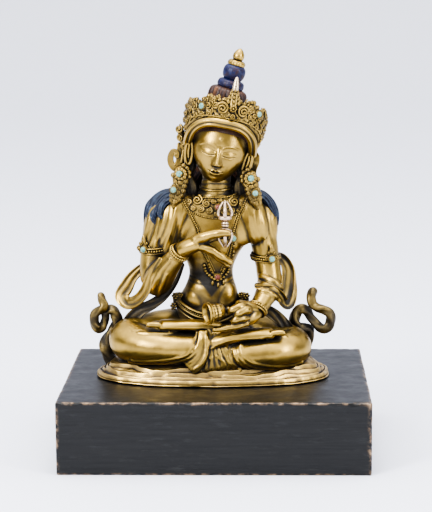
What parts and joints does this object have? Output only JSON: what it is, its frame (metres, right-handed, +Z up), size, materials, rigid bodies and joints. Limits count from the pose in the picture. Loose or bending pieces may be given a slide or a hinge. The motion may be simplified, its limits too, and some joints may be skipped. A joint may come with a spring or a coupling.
{
  "type": "vajrasattva statue",
  "caption": "Small gilt copper-alloy bodhisattva seated cross-legged on a low cushion, crowned, with a vajra held upright at the chest and a bell in the lap, on a black wooden block.",
  "frame": {"origin": "the middle of the wooden block's underside", "axes": "+Z up to the finial of the hair, +Y to the figure's back, +X to the figure's left hand"},
  "size_m": [0.18, 0.139, 0.2379],
  "materials": {
    "black_wood": "black stained, worn at the edges",
    "gilt_copper": "fire gilt, burnished and worn, dark in the recesses",
    "pale_gilt": "pale rosy gilt, polished",
    "turquoise": "polished stone",
    "coral": "polished stone"
  },
  "bodies": {
    "root": {"wooden_block": "black_wood", "seated_figure": "gilt_copper", "crown": "gilt_copper", "bell": "gilt_copper", "vajra": "pale_gilt", "turquoise_crown_right": "turquoise", "turquoise_crown_left": "turquoise", "turquoise_ear_disc_right": "turquoise", "turquoise_ear_disc_left": "turquoise", "turquoise_ear_drop_right": "turquoise", "turquoise_ear_drop_left": "turquoise", "turquoise_armband_right": "turquoise", "turquoise_armband_left": "turquoise", "turquoise_necklace": "turquoise", "coral_collar": "coral", "coral_pendant": "coral"}
  },
  "joints": []
}
